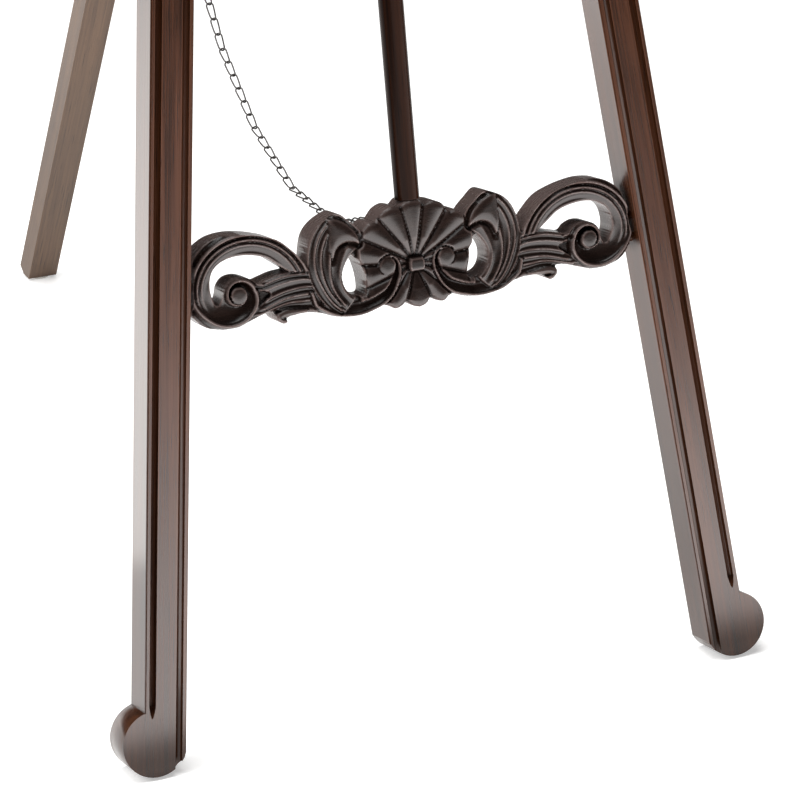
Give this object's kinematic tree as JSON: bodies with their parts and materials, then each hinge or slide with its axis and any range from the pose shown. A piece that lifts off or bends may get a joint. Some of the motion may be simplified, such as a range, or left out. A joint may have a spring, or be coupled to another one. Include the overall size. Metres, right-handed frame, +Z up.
{
  "type": "carved display easel",
  "caption": "Free-standing display easel with splayed moulded legs, a pierced shell-and-scroll stretcher, a ledge sliding on a centre rod and a hinged rear leg held by a chain.",
  "frame": {"origin": "on the floor, midway between the centre lines of the two front legs", "axes": "+X to the right seen from the front, +Y to the rear, +Z up"},
  "size_m": [0.7108, 1.3118, 1.6868],
  "materials": {
    "stained_wood": "satin lacquer over very dark walnut stain",
    "carved_wood": "carved, dark stain with rubbed highlights",
    "rear_wood": "plain mid-brown stain, satin",
    "dowel_wood": "plain beech",
    "antique_brass": "aged",
    "chain_steel": "blackened",
    "felt": "dense felt"
  },
  "bodies": {
    "front_frame": {"left_front_leg": "stained_wood", "right_front_leg": "stained_wood", "left_foot_scroll": "stained_wood", "right_foot_scroll": "stained_wood", "front_foot_pads": "felt", "carved_stretcher": "carved_wood", "stretcher_dowels": "dowel_wood", "centre_rod": "stained_wood", "top_rail": "stained_wood", "top_rail_dowels": "dowel_wood", "top_crest": "carved_wood", "crest_dowels": "dowel_wood", "hinge_frame_leaf": "antique_brass", "hinge_pin": "antique_brass", "hinge_frame_screws": "antique_brass", "chain_front_eye": "antique_brass"},
    "rear_leg": {"rear_leg": "rear_wood", "rear_foot_pad": "felt", "hinge_leg_leaf": "antique_brass", "hinge_leg_screws": "antique_brass", "chain_rear_staple": "chain_steel"},
    "ledge": {"picture_ledge": "stained_wood", "ledge_lip": "stained_wood", "ledge_carriage": "stained_wood", "ledge_screws": "antique_brass", "clamp_insert": "antique_brass"},
    "clamp": {"clamp_screw": "antique_brass", "clamp_knob": "stained_wood"},
    "chain_01": {"chain_01": "chain_steel"},
    "chain_02": {"chain_02": "chain_steel"},
    "chain_03": {"chain_03": "chain_steel"},
    "chain_04": {"chain_04": "chain_steel"},
    "chain_05": {"chain_05": "chain_steel"},
    "chain_06": {"chain_06": "chain_steel"}
  },
  "joints": [
    {"name": "rear_leg_hinge", "type": "hinge", "parent": "front_frame", "child": "rear_leg", "pos_m": [0, 0.3762, 1.57725], "axis": [1, 0, 0], "range_deg": [-41.5, 0]},
    {"name": "ledge_slide", "type": "slide", "parent": "front_frame", "child": "ledge", "axis": [0, 0.2079, 0.9781], "range_m": [-0.32, 0.54]},
    {"name": "clamp_knob_turn", "type": "hinge", "parent": "ledge", "child": "clamp", "pos_m": [0, 0.21423, 0.91649], "axis": [1, 0, 0], "range_deg": [-90, 720]},
    {"name": "chain_01_bend", "type": "hinge", "parent": "front_frame", "child": "chain_01", "pos_m": [-0.027, 0.15396, 0.48867], "axis": [1, 0, 0], "range_deg": [-85.89, 1]},
    {"name": "chain_02_bend", "type": "hinge", "parent": "chain_01", "child": "chain_02", "pos_m": [-0.027, 0.25595, 0.45253], "axis": [1, 0, 0], "range_deg": [-18.32, 1]},
    {"name": "chain_03_bend", "type": "hinge", "parent": "chain_02", "child": "chain_03", "pos_m": [-0.027, 0.36402, 0.4503], "axis": [1, 0, 0], "range_deg": [-1, 71.35]},
    {"name": "chain_04_bend", "type": "hinge", "parent": "chain_03", "child": "chain_04", "pos_m": [-0.027, 0.46726, 0.48262], "axis": [1, 0, 0], "range_deg": [-1, 84.65]},
    {"name": "chain_05_bend", "type": "hinge", "parent": "chain_04", "child": "chain_05", "pos_m": [-0.027, 0.55818, 0.54155], "axis": [1, 0, 0], "range_deg": [-12.89, 1]},
    {"name": "chain_06_bend", "type": "hinge", "parent": "chain_05", "child": "chain_06", "pos_m": [-0.027, 0.6898, 0.68777], "axis": [1, 0, 0], "range_deg": [-11.97, 1]}
  ],
  "couplings": [
    {"joint": "chain_01_bend", "follows": "rear_leg_hinge", "ratio": 2.0456},
    {"joint": "chain_02_bend", "follows": "rear_leg_hinge", "ratio": 0.41745},
    {"joint": "chain_03_bend", "follows": "rear_leg_hinge", "ratio": -1.6951},
    {"joint": "chain_04_bend", "follows": "rear_leg_hinge", "ratio": -2.0157},
    {"joint": "chain_05_bend", "follows": "rear_leg_hinge", "ratio": 0.28655},
    {"joint": "chain_06_bend", "follows": "rear_leg_hinge", "ratio": 0.26441}
  ]
}
